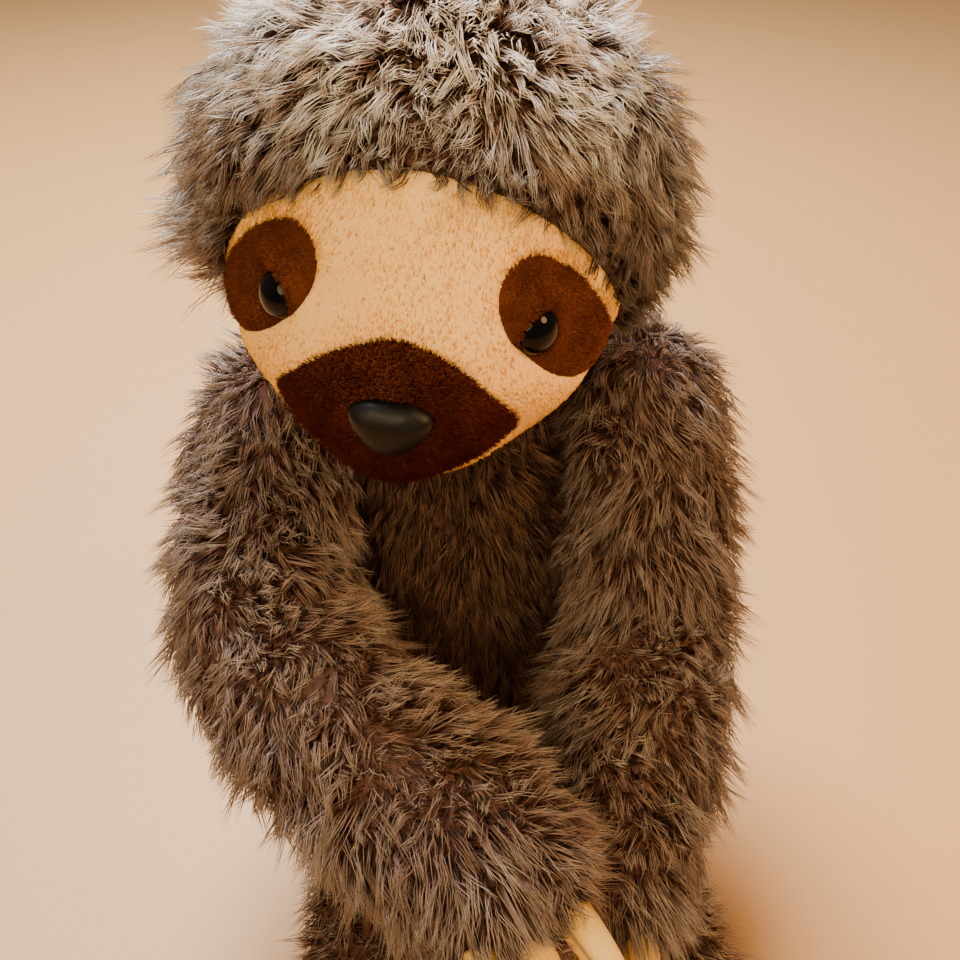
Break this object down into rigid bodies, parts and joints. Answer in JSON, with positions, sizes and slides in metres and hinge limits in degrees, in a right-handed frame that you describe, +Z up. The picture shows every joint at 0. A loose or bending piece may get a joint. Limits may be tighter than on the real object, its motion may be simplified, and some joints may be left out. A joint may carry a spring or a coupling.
{
  "type": "plush sloth",
  "caption": "Seated plush sloth with long brown pile, a cream face and ribbed claws; its head turns, its arms swing out of their hug and its legs splay.",
  "frame": {"origin": "on the ground under the middle of the body's seat", "axes": "+Z up, -Y the way the toy sits, -X its right side"},
  "size_m": [0.1807, 0.2635, 0.3016],
  "materials": {
    "long_pile": "long shaggy pile, dark at the root and grey at the tips",
    "cream_pile": "short napped pile",
    "rust_pile": "short napped pile",
    "eye_plastic": "gloss black",
    "nose_plastic": "satin black",
    "washer_plastic": "natural",
    "claw_cloth": "fine ribbed cloth",
    "fibre": "loose polyester fibre",
    "pellet_cloth": "plain woven bag of pellets"
  },
  "bodies": {
    "torso": {"body_cover": "long_pile", "body_filling": "fibre", "pellet_bag": "pellet_cloth"},
    "head": {"head_cover": "long_pile", "face_panel": "cream_pile", "muzzle_panel": "rust_pile", "eye_patch_right": "rust_pile", "eye_patch_left": "rust_pile", "eye_right": "eye_plastic", "eye_left": "eye_plastic", "eye_washer_right": "washer_plastic", "eye_washer_left": "washer_plastic", "nose": "nose_plastic", "nose_washer": "washer_plastic", "head_filling": "fibre"},
    "arm_right": {"arm_right_cover": "long_pile", "arm_right_filling": "fibre", "hand_right_claw_left": "claw_cloth", "hand_right_claw_middle": "claw_cloth", "hand_right_claw_right": "claw_cloth"},
    "arm_left": {"arm_left_cover": "long_pile", "arm_left_filling": "fibre", "hand_left_claw_left": "claw_cloth", "hand_left_claw_middle": "claw_cloth", "hand_left_claw_right": "claw_cloth"},
    "leg_right": {"leg_right_cover": "long_pile", "leg_right_filling": "fibre", "foot_right_claw_left": "claw_cloth", "foot_right_claw_middle": "claw_cloth", "foot_right_claw_right": "claw_cloth"},
    "leg_left": {"leg_left_cover": "long_pile", "leg_left_filling": "fibre", "foot_left_claw_left": "claw_cloth", "foot_left_claw_middle": "claw_cloth", "foot_left_claw_right": "claw_cloth"}
  },
  "joints": [
    {"name": "neck_turn", "type": "hinge", "parent": "torso", "child": "head", "pos_m": [-0.01, 0, 0.1885], "axis": [0, 0, 1], "range_deg": [-18, 42], "stiffness_Nm_per_rad": 0.3},
    {"name": "arm_right_open", "type": "hinge", "parent": "torso", "child": "arm_right", "pos_m": [-0.057, -0.004, 0.158], "axis": [0, 0, -1], "range_deg": [0, 40], "stiffness_Nm_per_rad": 0.2},
    {"name": "arm_left_open", "type": "hinge", "parent": "torso", "child": "arm_left", "pos_m": [0.057, -0.004, 0.158], "axis": [0, 0, 1], "range_deg": [0, 50], "stiffness_Nm_per_rad": 0.2},
    {"name": "leg_right_splay", "type": "hinge", "parent": "torso", "child": "leg_right", "pos_m": [-0.036, -0.05, 0.0245], "axis": [0, 0, -1], "range_deg": [0, 30], "stiffness_Nm_per_rad": 0.2},
    {"name": "leg_left_splay", "type": "hinge", "parent": "torso", "child": "leg_left", "pos_m": [0.036, -0.05, 0.0245], "axis": [0, 0, 1], "range_deg": [0, 30], "stiffness_Nm_per_rad": 0.2}
  ]
}
